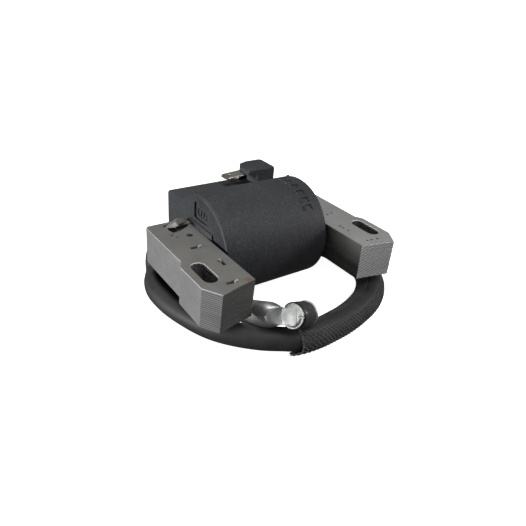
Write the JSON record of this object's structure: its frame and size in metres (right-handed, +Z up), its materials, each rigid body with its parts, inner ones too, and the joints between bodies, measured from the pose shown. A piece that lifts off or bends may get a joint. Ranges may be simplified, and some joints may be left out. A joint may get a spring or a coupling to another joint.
{
  "type": "ignition coil",
  "caption": "Two-legged laminated ignition coil with a round potted body, side kill blade, grounding tab and a looped sleeved lead ending in a metal plug elbow.",
  "frame": {"origin": "midway between the inner corners of the two pole faces, at the middle of the lamination stack", "axes": "+X from the left leg to the right leg, +Y from the pole faces to the back of the coil, +Z up through the lamination stack"},
  "size_m": [0.1047, 0.0937, 0.0458],
  "materials": {
    "core_steel": "bare punched laminations, warm grey",
    "plated_metal": "thin bright plating",
    "elbow_metal": "bright zinc plated pressed steel",
    "black_plastic": "fine spark texture, matte",
    "sealing_compound": "cast resin, slightly wavy surface",
    "black_rubber": "smooth moulded rubber",
    "lead_rubber": "smooth extruded rubber, low sheen",
    "woven_fabric": "tight woven braid",
    "copper": "bare copper",
    "enamel_wire": "fine enamelled wire",
    "former_plastic": "natural moulded nylon",
    "board_green": "glass fibre board",
    "component_black": "moulded component body",
    "component_tan": "dipped component body"
  },
  "bodies": {
    "coil": {"left_leg": "core_steel", "right_leg": "core_steel", "crossbar": "core_steel", "ground_tab": "core_steel", "ground_strip": "plated_metal", "housing": "black_plastic", "potting": "sealing_compound", "kill_blade": "plated_metal", "kill_wire": "copper", "primary_former": "former_plastic", "primary_winding": "copper", "secondary_former": "former_plastic", "secondary_winding": "enamel_wire", "circuit_board": "board_green", "power_transistor": "component_black", "trigger_chip": "component_black", "board_capacitor": "component_tan", "board_resistors": "component_black", "hv_contact": "plated_metal", "lead_boot": "black_rubber", "hv_lead": "lead_rubber", "woven_sleeve": "woven_fabric", "lead_end": "lead_rubber", "lead_conductor": "copper"},
    "plug_elbow": {"end_ferrule": "plated_metal", "elbow_shell": "elbow_metal", "lead_prong": "plated_metal", "socket_spring": "plated_metal", "socket_band": "black_rubber"}
  },
  "joints": [
    {"name": "elbow_swivel", "type": "hinge", "parent": "coil", "child": "plug_elbow", "pos_m": [-0.0226, 0.0094, -0.0137], "axis": [0.1103, -0.8981, 0.4258], "range_deg": [0, 90]}
  ]
}
